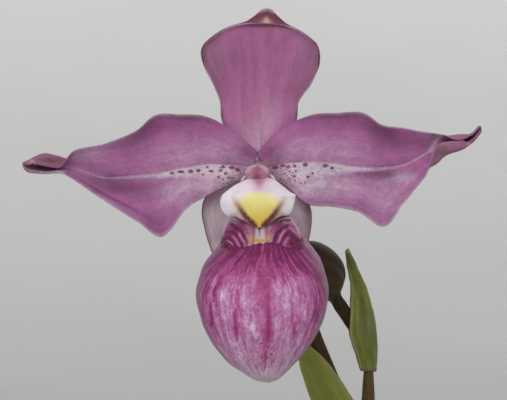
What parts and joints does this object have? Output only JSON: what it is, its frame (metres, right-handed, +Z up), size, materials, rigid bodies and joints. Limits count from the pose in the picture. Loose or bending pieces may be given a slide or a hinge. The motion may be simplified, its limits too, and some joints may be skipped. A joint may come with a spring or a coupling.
{
  "type": "potted phragmipedium orchid",
  "caption": "Slipper orchid in a clay pot of bark: folded strap leaves in a flat fan, an upright stem with bracts, an open flower with a pouch, and the next bud.",
  "frame": {"origin": "centre of the flat underside of the pot", "axes": "+Z up the stem; the flower faces -Y; +X to the right as the flower is looked at"},
  "size_m": [0.475, 0.15, 0.522],
  "materials": {
    "clay": "matte",
    "bark": "matte",
    "leaf": "satin",
    "stem": "matte",
    "bract": "satin",
    "bud": "matte",
    "petal": "matte",
    "sepal": "matte",
    "pouch": "satin",
    "column": "satin"
  },
  "bodies": {
    "root": {"pot": "clay", "bark": "bark", "leaf_1": "leaf", "leaf_2": "leaf", "leaf_3": "leaf", "leaf_4": "leaf", "leaf_5": "leaf", "leaf_6": "leaf", "leaf_7": "leaf", "young_leaf_1": "leaf", "young_leaf_2": "leaf", "young_leaf_3": "leaf", "stem": "stem", "sheath_1": "bract", "sheath_2": "bract", "lower_bract": "bract", "upper_bract": "bract", "ovary": "stem", "bud": "bud", "dorsal_sepal": "sepal", "synsepal": "sepal", "petal_left": "petal", "petal_right": "petal", "pouch": "pouch", "column": "column"}
  },
  "joints": []
}
